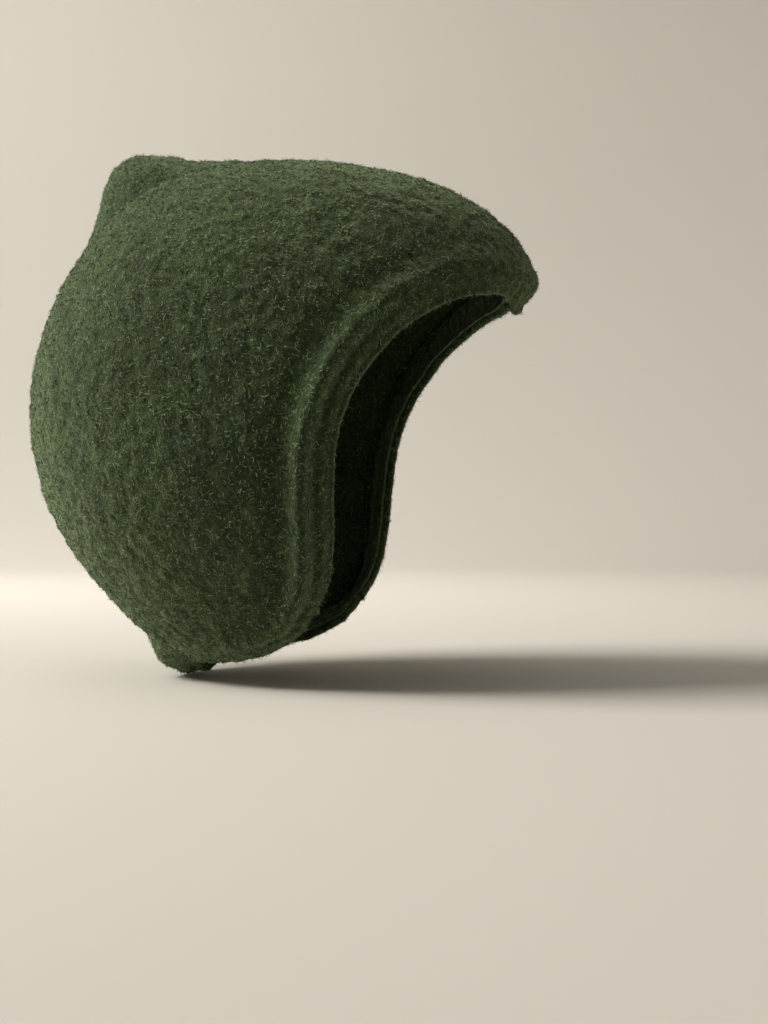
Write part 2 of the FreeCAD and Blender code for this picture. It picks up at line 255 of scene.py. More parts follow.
def outline_radius(angle):
    """Distance from the ear axis to the outline, smooth through its points."""
    turn = 2 * math.pi
    angle = np.asarray(angle) % turn
    after = np.searchsorted(OUTLINE_POLAR[:, 0], angle, side="right")
    angles, radii = [], []
    for step in (-2, -1, 0, 1):
        near = OUTLINE_POLAR[(after + step) % len(OUTLINE_POLAR)]
        angles.append(near[..., 0] + turn * np.round((angle - near[..., 0]) / turn))
        radii.append(near[..., 1])
    span = angles[2] - angles[1]
    start_slope = (radii[2] - radii[0]) / (angles[2] - angles[0]) * span
    end_slope = (radii[3] - radii[1]) / (angles[3] - angles[1]) * span
    return hermite((angle - angles[1]) / span, radii[1], radii[2], start_slope, end_slope)


def side_radius(angle, share):
    """Distance from the ear axis, seen from the side, at a share of the way out to the middle plane."""
    rounded = EAR_OVAL + (outline_radius(angle) - EAR_OVAL) * share ** OVAL_CURVE
    return rounded * np.sin(share * math.pi / 2)


def along_run(run, angle):
    """A height along a run of (degrees, millimetres), smooth and level at both ends."""
    places = np.radians([p[0] for p in run])
    heights = np.array([p[1] for p in run], float)
    slopes = np.gradient(heights, places)
    slopes[0] = 0
    slopes[-1] = 0 if heights[-1] == 0 else slopes[-1]
    k = np.clip(np.searchsorted(places, angle) - 1, 0, len(places) - 2)
    span = places[k + 1] - places[k]
    w = np.clip((angle - places[k]) / span, 0, 1)
    return hermite(w, heights[k], heights[k + 1], slopes[k] * span, slopes[k + 1] * span)


def peak_rise(angle, share):
    """Height of the peak: two flat layers of felt that meet at the middle plane, its ridge rounded."""
    off = (np.hypot(1 - share, RIDGE_ROUND) - RIDGE_ROUND) / PEAK_HALF_SHARE
    return along_run(PEAK_RUN, angle) * np.clip(1 - off, 0, 1) ** PEAK_SIDE_CURVE


def nape_rise(angle, share):
    """Height of the nape's corner, which rises gently from the sides."""
    off = np.clip(np.abs(1 - share) / NAPE_HALF_SHARE, 0, 1)
    return along_run(NAPE_RUN, angle) * (0.5 + 0.5 * np.cos(math.pi * off))


def dome(place):
    """Points on the smooth outside, in millimetres, of places (..., 2) on the flat disc round the ear.
    Places past the rim of the disc are on the wearer's left."""
    angle = np.arctan2(place[..., 1], place[..., 0]) % (2 * math.pi)
    share = np.hypot(place[..., 0], place[..., 1])
    near = np.minimum(share, 2 - share)
    half_width = bpy.context.scene.cap_shape.half_width / MM
    lateral = -half_width * np.abs(np.cos(near * math.pi / 2)) ** WIDTH_CURVE
    lateral = np.where(share > 1, -lateral, lateral)
    reach = side_radius(angle, near)
    return np.stack([lateral, EAR[0] - reach * np.cos(angle), EAR[1] + reach * np.sin(angle)], -1)


def normal_at(place):
    """The outward normals of the smooth outside."""
    step = 0.003
    across, up = np.array([step, 0]), np.array([0, step])
    normal = np.cross(dome(place + across) - dome(place - across), dome(place + up) - dome(place - up))
    return normal / np.linalg.norm(normal, axis=-1, keepdims=True)


def on_disc(angle, share):
    return np.stack([share * np.cos(angle), share * np.sin(angle)], -1)


def disc_place(y, z):
    """The place on the flat disc round the ear of a point seen from the side."""
    angle, distance = polar(y, z)
    shares = np.linspace(0, 1, 2001)
    return on_disc(angle, np.interp(distance, side_radius(angle, shares), shares))


def through(places, shares):
    """A smooth line through places, at shares of its length."""
    places = np.asarray(places)
    lengths = np.concatenate([[0], np.cumsum(np.linalg.norm(np.diff(places, axis=0), axis=1))])
    slopes = np.gradient(places, lengths, axis=0)
    target = np.clip(shares, 0, 1) * lengths[-1]
    k = np.clip(np.searchsorted(lengths, target) - 1, 0, len(places) - 2)
    span = (lengths[k + 1] - lengths[k])[..., None]
    w = (target - lengths[k])[..., None] / span
    return hermite(w, places[k], places[k + 1], slopes[k] * span, slopes[k + 1] * span)


FOREHEAD, PEAK, NAPE = (on_disc(np.array(a), 1.0) for a in (FOREHEAD_ANGLE, PEAK_ANGLE, NAPE_ANGLE))
CORNER = disc_place(*FLAP_CORNER)
FACE_LINE = [FOREHEAD] + [disc_place(y, z) for y, z in FACE_EDGE] + [CORNER]
NECK_LINE = [CORNER] + [disc_place(y, z) for y, z in NECK_EDGE] + [NAPE]


def cloth(u, v):
    """Place on the disc of the fabric: u from the face edge to the back seam, v from the top to the neck."""
    face, neck = through(FACE_LINE, v), through(NECK_LINE, u)
    top = on_disc(FOREHEAD_ANGLE + (PEAK_ANGLE - FOREHEAD_ANGLE) * u, 1.0)
    back = on_disc(PEAK_ANGLE + (NAPE_ANGLE - PEAK_ANGLE) * v, 1.0)
    u, v = u[..., None], v[..., None]
    return ((1 - u) * face + u * back + (1 - v) * top + v * neck
            - (1 - u) * (1 - v) * FOREHEAD - u * (1 - v) * PEAK - (1 - u) * v * CORNER - u * v * NAPE)


# ---------------------------------------------------------------- the felt's own unevenness

def swells(points, wavelength, seed, waves=40):
    """A smooth random field over points, about -1 to 1, whose bumps have the given spacing."""
    draw = np.random.default_rng(seed)
    directions = draw.normal(size=(waves, 3))
    directions /= np.linalg.norm(directions, axis=1, keepdims=True)
    sizes = 2 * math.pi / (wavelength * draw.uniform(0.7, 1.4, waves))
    phases = draw.uniform(0, 2 * math.pi, waves)
    flat = points.reshape(-1, 3)
    field = np.zeros(len(flat))
    for direction, size, phase in zip(directions, sizes, phases):
        field += np.cos(flat @ (direction * size) + phase)
    return (field * math.sqrt(2 / waves) / 1.6).reshape(points.shape[:-1])


def unevenness(points, shape):
    """Height of the felt over the smooth dome: slow swells from wear, and the pebbles of fulled stitches."""
    height, seed = 0, 0
    for size, waves in ((shape.swell, SWELL_WAVES), (shape.pebble, PEBBLE_WAVES)):
        for wavelength, share in waves:
            seed += 1
            height = height + share * size / MM * swells(points, wavelength, seed)
    return height


def bell(distance, middle, width):
    return np.exp(-((distance - middle) / width) ** 2)


def rim_line():
    """Points along the face and neck edges, and how strong the hem's ridge and its roll are at each."""
    shares = np.linspace(0, 1, RIM_POINTS)
    zeros, ones = np.zeros_like(shares), np.ones_like(shares)
    places = np.concatenate([cloth(zeros, shares), cloth(shares, ones)])
    ridges = np.concatenate([np.interp(shares, *RIDGE_BY_FACE), np.interp(shares, *RIDGE_BY_NECK)])
    rolls = np.concatenate([np.interp(shares, *ROLL_BY_FACE), np.interp(shares, *ROLL_BY_NECK)])
    return dome(places), ridges, rolls


def edge_roll(points, shape):
    """Height that the turned hem gives the felt: a ridge beside the edge, which rolls in to the face."""
    line, ridges, rolls = rim_line()
    flat = points.reshape(-1, 3)
    distance, nearest = np.empty(len(flat)), np.empty(len(flat), int)
    at_a_time = 4000
    for start in range(0, len(flat), at_a_time):
        part = slice(start, start + at_a_time)
        gaps = np.linalg.norm(flat[part, None] - line[None], axis=2)
        distance[part] = gaps.min(axis=1)
        nearest[part] = gaps.argmin(axis=1)
    place = shape.ridge_place / MM
    inner = np.clip(1 - distance / (place * ROLL_REACH), 0, 1)
    roll = -shape.turn_in / MM * inner ** ROLL_CURVE * rolls[nearest]
    ridge = (bell(distance, place, RIDGE_WIDTH)
             - VALLEY_DEPTH * bell(distance, place + VALLEY_PAST_RIDGE, VALLEY_WIDTH)
             - GROOVE_DEPTH * bell(distance, GROOVE_SHARE * place, GROOVE_WIDTH))
    return (roll + shape.ridge / MM * ridges[nearest] * ridge).reshape(points.shape[:-1])


def shoulder(places, shape):
    """Height of the swell and the crease beside the peak's foot."""
    angle = np.arctan2(places[..., 1], places[..., 0]) % (2 * math.pi)
    off = np.abs(1 - np.hypot(places[..., 0], places[..., 1]))
    swell, crease = (share * bell(off, middle, width)
                     for share, middle, width in (SHOULDER_SWELL, SHOULDER_CREASE))
    return shape.shoulder / MM * bell(angle, SHOULDER_ANGLE, SHOULDER_SPREAD) * (swell - crease)


def felt_surface(places, shape, side=RIGHT):
    """The felt's real outside over places on the disc, and the smooth dome's normals there."""
    points, normals = dome(places), normal_at(places)
    roll = edge_roll(points, shape)
    if side == LEFT:
        points, normals = points * MIRROR, normals * MIRROR
    height = unevenness(points, shape) + roll + shoulder(places, shape)
    return points + normals * height[..., None], normals


# ---------------------------------------------------------------- mesh building

def grid_faces(columns, rows, offset=0, flip=False):
    """Faces of a grid of corners, which are numbered down each column in turn."""
    i, j = np.meshgrid(np.arange(columns), np.arange(rows), indexing="ij")
    a = offset + i * (rows + 1) + j
    faces = np.stack([a, a + rows + 1, a + rows + 2, a + 1], -1).reshape(-1, 4)
    return faces[:, ::-1] if flip else faces


def strip_faces(one, other, flip=False):
    """Faces between two like rows of corners."""
    faces = np.stack([one[:-1], one[1:], other[1:], other[:-1]], -1)
    return faces[:, ::-1] if flip else faces


def make_piece(name, points, faces, material):
    """A smooth-shaded piece from points in millimetres."""
    mesh = bpy.data.meshes.new(name)
    points = np.asarray(points, np.float32) * MM
    counts = np.concatenate([np.full(len(f), f.shape[1]) for f in faces])
    corners = np.concatenate([np.asarray(f).ravel() for f in faces])
    mesh.vertices.add(len(points))
    mesh.vertices.foreach_set("co", points.ravel())
    mesh.loops.add(len(corners))
    mesh.loops.foreach_set("vertex_index", corners.astype(np.int32))
    mesh.polygons.add(len(counts))
    mesh.polygons.foreach_set("loop_start", np.concatenate([[0], np.cumsum(counts)[:-1]]).astype(np.int32))
    mesh.polygons.foreach_set("loop_total", counts.astype(np.int32))
    mesh.update(calc_edges=True)
    mesh.validate()
    mesh.polygons.foreach_set("use_smooth", np.ones(len(mesh.polygons), bool))
    for one in material if isinstance(material, list) else [material]:
        mesh.materials.append(one)
    piece = bpy.data.objects.new(name, mesh)
    bpy.context.scene.collection.objects.link(piece)
    return piece


def side_panel(name, side, shape, material):
    """One side of the cap as thick felt: outside, rounded rim and inside, with a flat wall at the seam."""
    columns, rows = shape.columns, shape.rows
    u, v = np.meshgrid(np.linspace(0, 1, columns + 1) ** EDGE_FINER, np.linspace(0, 1, rows + 1),
                       indexing="ij")
    points, normals = felt_surface(cloth(u, v), shape, side)
    thickness = shape.fabric / MM
    inside = points - normals * thickness
    for layer in (points, inside):
        layer[:, 0, 0] = 0
        layer[-1, :, 0] = 0
    count = (columns + 1) * (rows + 1)
    index = np.arange(count).reshape(columns + 1, rows + 1)
    rim = np.concatenate([index[0, :], index[1:, -1]])
    next_in = np.concatenate([index[1, :], index[1:, -2]])
    flat_points, flat_normals, flat_inside = (a.reshape(-1, 3) for a in (points, normals, inside))
    outward = flat_points[rim] - flat_points[next_in]
    outward -= flat_normals[rim] * (outward * flat_normals[rim]).sum(1, keepdims=True)
    outward /= np.linalg.norm(outward, axis=1, keepdims=True) + 1e-9
    outward[rows] = outward[rows - 1] + outward[rows + 1]
    outward[rows] /= np.linalg.norm(outward[rows])
    middle = (flat_points[rim] + flat_inside[rim]) / 2
    rounds = []
    for k in range(1, RIM_STEPS):
        turn = math.pi * k / RIM_STEPS
        ring = (middle + flat_normals[rim] * thickness / 2 * math.cos(turn)
                + outward * thickness / 2 * math.sin(turn))
        ring[0, 0] = ring[-1, 0] = 0
        rounds.append(ring)
    between = [2 * count + k * len(rim) + np.arange(len(rim)) for k in range(RIM_STEPS - 1)]
    corners = [rim] + between + [rim + count]
    flip = side == LEFT
    faces = [grid_faces(columns, rows, 0, not flip), grid_faces(columns, rows, count, flip)]
    for one, other in zip(corners[:-1], corners[1:]):
        faces.append(strip_faces(one, other, flip))
    wall = np.concatenate([index[:, 0], index[-1, 1:]])
    faces.append(strip_faces(wall, wall + count, not flip))
    ends = np.array([[c[0] for c in corners], [c[-1] for c in corners][::-1]])
    faces.append(ends if not flip else ends[:, ::-1])
    everything = np.concatenate([flat_points, flat_inside] + rounds)
    return make_piece(name, everything, faces, material)


# ---------------------------------------------------------------- materials

def linear(code):
    """An sRGB hex colour as linear red, green, blue and alpha."""
    parts = [int(code[k:k + 2], 16) / 255 for k in (0, 2, 4)]
    return tuple(c / 12.92 if c <= 0.04045 else ((c + 0.055) / 1.055) ** 2.4 for c in parts) + (1.0,)


def add_node(tree, kind, settings=(), **links):
    """Add a node with its settings, and link each named input from a socket or set it to a value."""
    node = tree.nodes.new(kind)
    for name, value in dict(settings).items():
        setattr(node, name, value)
    for name, value in links.items():
        socket = node.inputs[int(name[3:])] if name.startswith("in_") else node.inputs[name.replace("_", " ")]
        if isinstance(value, bpy.types.NodeSocket):
            tree.links.new(value, socket)
        else:
            socket.default_value = value
    return node


def set_ramp(node, stops):
    """Give a colour ramp its stops, as (place, linear colour)."""
    ramp = node.color_ramp
    while len(ramp.elements) < len(stops):
        ramp.elements.new(0.5)
    for element, (place, colour) in zip(ramp.elements, stops):
        element.position, element.color = place, colour


def new_material(name):
    """An empty node material and its tree."""
    material = bpy.data.materials.new(name)
    material.use_nodes = True
    material.node_tree.nodes.clear()
    return material, material.node_tree


def felt_material(name, look, shade=1.0):
    """Fulled heather wool: a matt nap of curled fibres that takes light at its edges, with painted shade in
    its gaps and painted highlight on its curls. The curls, the pebbles of the fulled stitches and the flecks
    are each a noise at its own size."""
    material, tree = new_material(name)
    place = add_node(tree, "ShaderNodeTexCoord").outputs["Object"]
    curls = add_node(tree, "ShaderNodeTexNoise", Vector=place, Scale=1 / look.curl, Detail=3.0, Roughness=0.6,
                     Distortion=1.6)
    fine = add_node(tree, "ShaderNodeTexNoise", Vector=place, Scale=2.6 / look.curl, Detail=2.0,
                    Roughness=0.6, Distortion=1.0)
    pebbles = add_node(tree, "ShaderNodeTexNoise", Vector=place, Scale=1 / (3.5 * MM), Detail=2.0,
                       Roughness=0.5)
    flecks = add_node(tree, "ShaderNodeTexNoise", Vector=place, Scale=1 / look.fleck, Detail=3.0,
                      Roughness=0.65)
    patches = add_node(tree, "ShaderNodeTexNoise", Vector=place, Scale=1 / (4.0 * look.fleck), Detail=2.0,
                       Roughness=0.5)
    blues = add_node(tree, "ShaderNodeTexNoise", {"noise_dimensions": "4D"}, Vector=place,
                     Scale=1 / (1.6 * look.fleck), Detail=2.0, W=7.0)
    # The ramp paints shade into the low gaps between the curls and highlight on their crests, with the wool's
    # own colour between
    wool = add_node(tree, "ShaderNodeValToRGB", Fac=curls.outputs["Fac"])
    set_ramp(wool, [(0.36, linear(look.deep)), (0.52, linear(look.middle)), (0.68, linear(look.pale))])
    mixed = wool.outputs["Color"]
    for source, low, high, colour, most in (
            (flecks, 0.5, 0.75, look.olive, 0.4), (blues, 0.58, 0.75, look.blue, 0.35)):
        amount = add_node(tree, "ShaderNodeMapRange", Value=source.outputs["Fac"], From_Min=low,
                          From_Max=high, To_Max=most)
        mixed = add_node(tree, "ShaderNodeMix", {"data_type": "RGBA"}, in_0=amount.outputs["Result"],
                         in_6=mixed, in_7=linear(colour)).outputs[2]
    # Random patches of lighter and darker wool, times shade, which below 1 darkens a whole copy of the felt
    # as painted shade
    tone = add_node(tree, "ShaderNodeMapRange", Value=patches.outputs["Fac"], From_Min=0.35,
                    From_Max=0.65, To_Min=0.82 * shade, To_Max=1.18 * shade)
    # Painted shade: a finer noise darkens the colour between the fibres
    gaps = add_node(tree, "ShaderNodeMapRange", Value=fine.outputs["Fac"], From_Min=0.3, From_Max=0.6,
                    To_Min=0.55, To_Max=1.1)
    both = add_node(tree, "ShaderNodeMath", {"operation": "MULTIPLY"}, in_0=tone.outputs["Result"],
                    in_1=gaps.outputs["Result"])
    shaded = add_node(tree, "ShaderNodeVectorMath", {"operation": "SCALE"}, in_0=mixed,
                      Scale=both.outputs["Value"])
    height = add_node(tree, "ShaderNodeMath", {"operation": "MULTIPLY_ADD"}, in_0=pebbles.outputs["Fac"],
                      in_1=1.5, in_2=curls.outputs["Fac"])
    bump = add_node(tree, "ShaderNodeBump", Strength=0.8, Distance=0.7 * MM, Height=height.outputs["Value"])
    shader = add_node(tree, "ShaderNodeBsdfPrincipled", Base_Color=shaded.outputs["Vector"], Roughness=0.95,
                      IOR=1.5, Normal=bump.outputs["Normal"])
    shader.inputs["Specular IOR Level"].default_value = 0.2
    shader.inputs["Sheen Weight"].default_value = 0.85
    shader.inputs["Sheen Roughness"].default_value = 0.5
    shader.inputs["Sheen Tint"].default_value = linear("a9bf92")
    add_node(tree, "ShaderNodeOutputMaterial", Surface=shader.outputs["BSDF"])
    return material


def fibre_material(name, colour):
    """A single wool fibre: scaly keratin, so a soft broad gloss and no clear highlight."""
    material, tree = new_material(name)
    shader = add_node(tree, "ShaderNodeBsdfPrincipled", Base_Color=linear(colour), Roughness=0.75,
                      IOR=1.55)
    shader.inputs["Specular IOR Level"].default_value = 0.3
    shader.inputs["Sheen Weight"].default_value = 0.12
    shader.inputs["Sheen Tint"].default_value = linear("b4c79e")
    add_node(tree, "ShaderNodeOutputMaterial", Surface=shader.outputs["BSDF"])
    return material


def yarn_material(name):
    """Two-ply wool sewing yarn: spun tight, so smoother than the felt, with a fine hair along each ply."""
    material, tree = new_material(name)
    place = add_node(tree, "ShaderNodeTexCoord").outputs["Object"]
    hair = add_node(tree, "ShaderNodeTexNoise", Vector=place, Scale=1 / (0.5 * MM), Detail=3.0, Roughness=0.6,
                    Distortion=0.8)
    tone = add_node(tree, "ShaderNodeValToRGB", Fac=hair.outputs["Fac"])
    set_ramp(tone, [(0.35, linear("26331f")), (0.52, linear("4a5d3c")), (0.7, linear("74875f"))])
    bump = add_node(tree, "ShaderNodeBump", Strength=0.7, Distance=0.3 * MM, Height=hair.outputs["Fac"])
    shader = add_node(tree, "ShaderNodeBsdfPrincipled", Base_Color=tone.outputs["Color"], Roughness=0.8,
                      IOR=1.55, Normal=bump.outputs["Normal"])
    shader.inputs["Sheen Weight"].default_value = 0.4
    add_node(tree, "ShaderNodeOutputMaterial", Surface=shader.outputs["BSDF"])
    return material


def paper_material(name, colour):
    """Matt backdrop paper: even and without gloss."""
    material, tree = new_material(name)
    grain = add_node(tree, "ShaderNodeTexNoise", Scale=900.0, Detail=2.0)
    bump = add_node(tree, "ShaderNodeBump", Strength=0.05, Distance=0.0002, Height=grain.outputs["Fac"])
    shader = add_node(tree, "ShaderNodeBsdfPrincipled", Base_Color=linear(colour), Roughness=0.9,
                      Normal=bump.outputs["Normal"])
    add_node(tree, "ShaderNodeOutputMaterial", Surface=shader.outputs["BSDF"])
    return material


def made_once(name, make, *settings):
    """The material of that name, made the first time that it is asked for."""
    return bpy.data.materials.get(name) or make(name, *settings)


def felt(name="Fulled wool felt", shade=1.0):
    return made_once(name, felt_material, bpy.context.scene.felt_look, shade)


def fibre_materials():
    look = bpy.context.scene.felt_look
    return [made_once(f"Wool fibre {kind}", fibre_material, getattr(look, f"fibre_{kind}"))
            for kind in FIBRE_KINDS]


# ---------------------------------------------------------------- fuzz

FIBRE_RING = np.array([[math.cos(a), math.sin(a)] for a in (0, 2 * math.pi / 3, 4 * math.pi / 3)])
FIBRE_FACES = np.array([[0, 1, 4, 3], [1, 2, 5, 4], [2, 0, 3, 5], [3, 4, 7, 6], [4, 5, 8, 7], [5, 3, 6, 8]])
FIBRE_TIPS = np.array([[6, 7, 9], [7, 8, 9], [8, 6, 9], [2, 1, 0]])


def surface_draw(mesh, faces, density, draw):
    """Random points, and the normals there, spread evenly over some of a mesh's faces."""
    points = np.empty(len(mesh.vertices) * 3, np.float32)
    mesh.vertices.foreach_get("co", points)
    points = points.reshape(-1, 3).astype(float) / MM
    corners = np.array([mesh.polygons[k].vertices for k in faces])
    a, b, c, d = (points[corners[:, k]] for k in range(4))
    areas = np.linalg.norm(np.cross(c - a, d - b), axis=1) / 2
    total = areas.sum()
    picked = draw.choice(len(corners), int(total * density), p=areas / total)
    s, t = draw.random((2, len(picked), 1))
    a, b, c, d = a[picked], b[picked], c[picked], d[picked]
    place = (1 - s) * (1 - t) * a + s * (1 - t) * b + s * t * c + (1 - s) * t * d
    normal = np.cross(c - a, d - b)
    return place, normal / np.linalg.norm(normal, axis=1, keepdims=True)


def turned(vectors, axes, angles):
    """Vectors turned about axes of unit length."""
    cos, sin = np.cos(angles)[:, None], np.sin(angles)[:, None]
    along = (vectors * axes).sum(1, keepdims=True)
    return vectors * cos + np.cross(axes, vectors) * sin + axes * along * (1 - cos)


def fibre_piece(name, roots, normals, lengths, fuzz, draw):
    """Curled wool fibres, each a closed tapering thread with three bends."""
    count = len(roots)
    sideways = np.cross(normals, draw.normal(size=(count, 3)))
    sideways /= np.linalg.norm(sideways, axis=1, keepdims=True)
    rise = draw.uniform(*FIBRE_LIFT, count)
    heading = sideways * np.cos(rise)[:, None] + normals * np.sin(rise)[:, None]
    curl = draw.normal(0, FIBRE_CURL, count)
    width = fuzz.width / MM * draw.uniform(*FIBRE_WIDTHS, count)
    here = roots - normals * FIBRE_SINK
    step = lengths / (len(FIBRE_TAPERS) - 1)
    rings = []
    for taper in FIBRE_TAPERS:
        side = np.cross(heading, normals)
        side /= np.linalg.norm(side, axis=1, keepdims=True) + 1e-9
        up = np.cross(side, heading)
        if taper:
            for x, y in FIBRE_RING:
                rings.append(here + (side * x + up * y) * (width * taper / 2)[:, None])
            here = here + heading * step[:, None]
            heading = turned(heading, normals, curl + draw.normal(0, FIBRE_WANDER, count))
            heading = heading - normals * draw.uniform(0.0, FIBRE_DROOP, count)[:, None]
            heading /= np.linalg.norm(heading, axis=1, keepdims=True)
        else:
            rings.append(here)
    points = np.stack(rings, 1).reshape(-1, 3)
    start = (np.arange(count) * len(rings))[:, None, None]
    faces = [(FIBRE_FACES[None] + start).reshape(-1, 4), (FIBRE_TIPS[None] + start).reshape(-1, 3)]
    materials = fibre_materials()
    piece = make_piece(name, points, faces, materials)
    kinds = draw.choice(len(materials), count, p=FIBRE_SHARES)
    slots = np.concatenate([np.repeat(kinds, len(FIBRE_FACES)), np.repeat(kinds, len(FIBRE_TIPS))])
    piece.data.polygons.foreach_set("material_index", slots.astype(np.int32))
    return piece


def fuzz_on(piece, name, faces, fuzz, seed, spacing=None):
    """Cover faces of a felt piece with short curled fibres and a few long ones, in pieces of a handy size."""
    draw = np.random.default_rng(seed)
    share = 1.0
    density = share / ((spacing or fuzz.spacing) / MM) ** 2
    roots, normals = surface_draw(piece.data, faces, density, draw)
    lengths = fuzz.length / MM * draw.uniform(*FIBRE_LENGTHS, len(roots))
    lengths[draw.random(len(roots)) < fuzz.long_share] *= LONG_FIBRE
    made = []
    for k in range(0, len(roots), MOST_FIBRES):
        part = slice(k, k + MOST_FIBRES)
        made.append(fibre_piece(f"{name}_{len(made) + 1}", roots[part], normals[part], lengths[part], fuzz,
                                draw))
    return made


# ---------------------------------------------------------------- layers, corners and stitches

def closed_layer(name, outside, inside, material):
    """A closed piece between two like grids of points."""
    columns, rows = outside.shape[0] - 1, outside.shape[1] - 1
    count = (columns + 1) * (rows + 1)
    index = np.arange(count).reshape(columns + 1, rows + 1)
    border = np.concatenate([index[:-1, 0], index[-1, :-1], index[:0:-1, -1], index[0, ::-1]])
    faces = [grid_faces(columns, rows), grid_faces(columns, rows, count, True),
             strip_faces(border, border + count)]
    piece = make_piece(name, np.concatenate([outside.reshape(-1, 3), inside.reshape(-1, 3)]), faces, material)
    face_outwards(piece)
    return piece


def face_outwards(piece):
    """Turn every face of a closed piece outwards."""
    work = bmesh.new()
    work.from_mesh(piece.data)
    bmesh.ops.recalc_face_normals(work, faces=work.faces)
    work.to_mesh(piece.data)
    work.free()


def rounded(piece):
    """Round the edges of a piece by one subdivision, and keep what that makes."""
    smooth = piece.modifiers.new("Rounded", "SUBSURF")
    smooth.levels = smooth.render_levels = 1
    graph = bpy.context.evaluated_depsgraph_get()
    mesh = bpy.data.meshes.new_from_object(piece.evaluated_get(graph))
    piece.modifiers.clear()
    piece.data = mesh


def standing_corner(name, run, half_share, rise, shape, fabric):
    """A pinched-up corner of the felt on the middle plane, closed underneath. Its foot reaches a little past
    where it starts to rise, and sinks into the felt there."""
    foot_reach, crowding, foot_sink = 1.08, 1.3, 0.8
    angle = np.radians(np.linspace(run[0][0], run[-1][0], CORNER_COLUMNS + 1))
    across = np.linspace(-1, 1, CORNER_ROWS + 1)
    share = 1 + foot_reach * half_share * np.sign(across) * np.abs(across) ** crowding
    angle, share = np.meshgrid(angle, share, indexing="ij")
    base, normals = felt_surface(on_disc(angle, share), shape)
    height = rise(angle, np.minimum(share, 2 - share))
    away = np.stack([np.zeros_like(angle), -np.cos(angle), np.sin(angle)], -1)
    sink = np.clip(foot_sink - np.abs(height), 0, foot_sink)
    outside = base + away * height[..., None] - normals * sink[..., None]
    return closed_layer(name, outside, base - normals * fabric, felt())


def edge_band(shares, along_face, width, columns=BAND_STEPS):
    """Places in a band of an even width along the face edge or the neck edge."""
    farthest, samples, first = 0.4, 81, 0.5
    ways = np.linspace(0, farthest, samples)
    way, share = np.meshgrid(ways, shares, indexing="ij")
    places = cloth(way, share) if along_face else cloth(share, 1 - way)
    steps = np.linalg.norm(np.diff(dome(places), axis=0), axis=-1)
    lengths = np.concatenate([np.zeros((1, len(shares))), np.cumsum(steps, axis=0)])
    distances = np.linspace(first, width, columns + 1)
    reach = np.stack([np.interp(distances, lengths[:, k], ways) for k in range(len(shares))], 1)
    share = np.broadcast_to(shares, reach.shape)
    return cloth(reach, share) if along_face else cloth(share, 1 - reach)


def layer_under(name, places, thickness, shape, side, material):
    """A layer of felt that lies against the inside of the outer one, with rounded edges."""
    depth = shape.fabric / MM + LAYER_GAP
    points, normals = felt_surface(places, shape, side)
    piece = closed_layer(name, points - normals * depth, points - normals * (depth + thickness), material)
    rounded(piece)
    return piece


def yarn_stitches(name, starts, ends, outward, radius, material):
    """Separate stitches of two-ply yarn, each a closed bowed tube that sinks into the felt at both ends."""
    t = np.linspace(0, 1, STITCH_RINGS)
    turn = np.linspace(0, 2 * math.pi, STITCH_AROUND, endpoint=False)
    ply_depth, twist, bluntness, sink = 0.2, 3.2 * math.pi, 6, 0.6
    plies = 1 - ply_depth + ply_depth * np.cos(2 * (turn[None] - twist * t[:, None]))
    ends_in = np.sqrt(np.clip(1 - (2 * t - 1) ** bluntness, 0.02, 1))
    size = radius * plies * ends_in[:, None]
    bow = radius * (np.sin(math.pi * t) - sink)
    points, faces, count = [], [], STITCH_RINGS * STITCH_AROUND
    for start, end, out in zip(starts, ends, outward):
        along = (end - start) / np.linalg.norm(end - start)
        side = np.cross(along, out)
        line = start + (end - start) * t[:, None] + out * bow[:, None]
        ring = (line[:, None] + side * (size * np.cos(turn))[..., None]
                + out * (size * np.sin(turn))[..., None])
        corner = np.arange(count).reshape(STITCH_RINGS, STITCH_AROUND) + len(points) * count
        points.append(ring.reshape(-1, 3))
        for one, other in zip(corner[:-1], corner[1:]):
            faces.append(strip_faces(np.append(one, one[0]), np.append(other, other[0])))
        faces += [corner[0][None, ::-1], corner[-1][None]]
    piece = make_piece(name, np.concatenate(points), faces, material)
    face_outwards(piece)
    return piece


# ---------------------------------------------------------------- operators


def flap_blend(piece):
    """Bake a side's placement into the mesh of its piece."""
    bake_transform(piece)


def peak_blend(piece):
    """Bake the peak's placement into the mesh of its piece."""
    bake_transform(piece)


class CAP_OT_side_panels(bpy.types.Operator):
    """Make both sides of the cap as thick felt with a turned edge"""
    bl_idname = "cap.side_panels"
    bl_label = "Side panels"

    def execute(self, context):
        shape, fuzz = context.scene.cap_shape, context.scene.cap_fuzz
        grid = shape.columns * shape.rows
        rim = range(2 * grid, 2 * grid + RIM_STEPS * (shape.columns + shape.rows))
        for seed, side in enumerate((RIGHT, LEFT)):
            piece = side_panel(f"felt_side_{side}", side, shape, felt())
            face_outwards(piece)
            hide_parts(f"side_panel_{side}", f"ear_flap_{side}")
            fibres = fuzz_on(piece, f"fuzz_{side}", [*range(grid), *rim], fuzz, 10 + seed)
            fibres += fuzz_on(piece, f"fuzz_inside_{side}", range(grid, 2 * grid), fuzz, 20 + seed,
                              fuzz.inside_spacing)
            for one in [piece] + fibres:
                flap_blend(one)
        return {"FINISHED"}


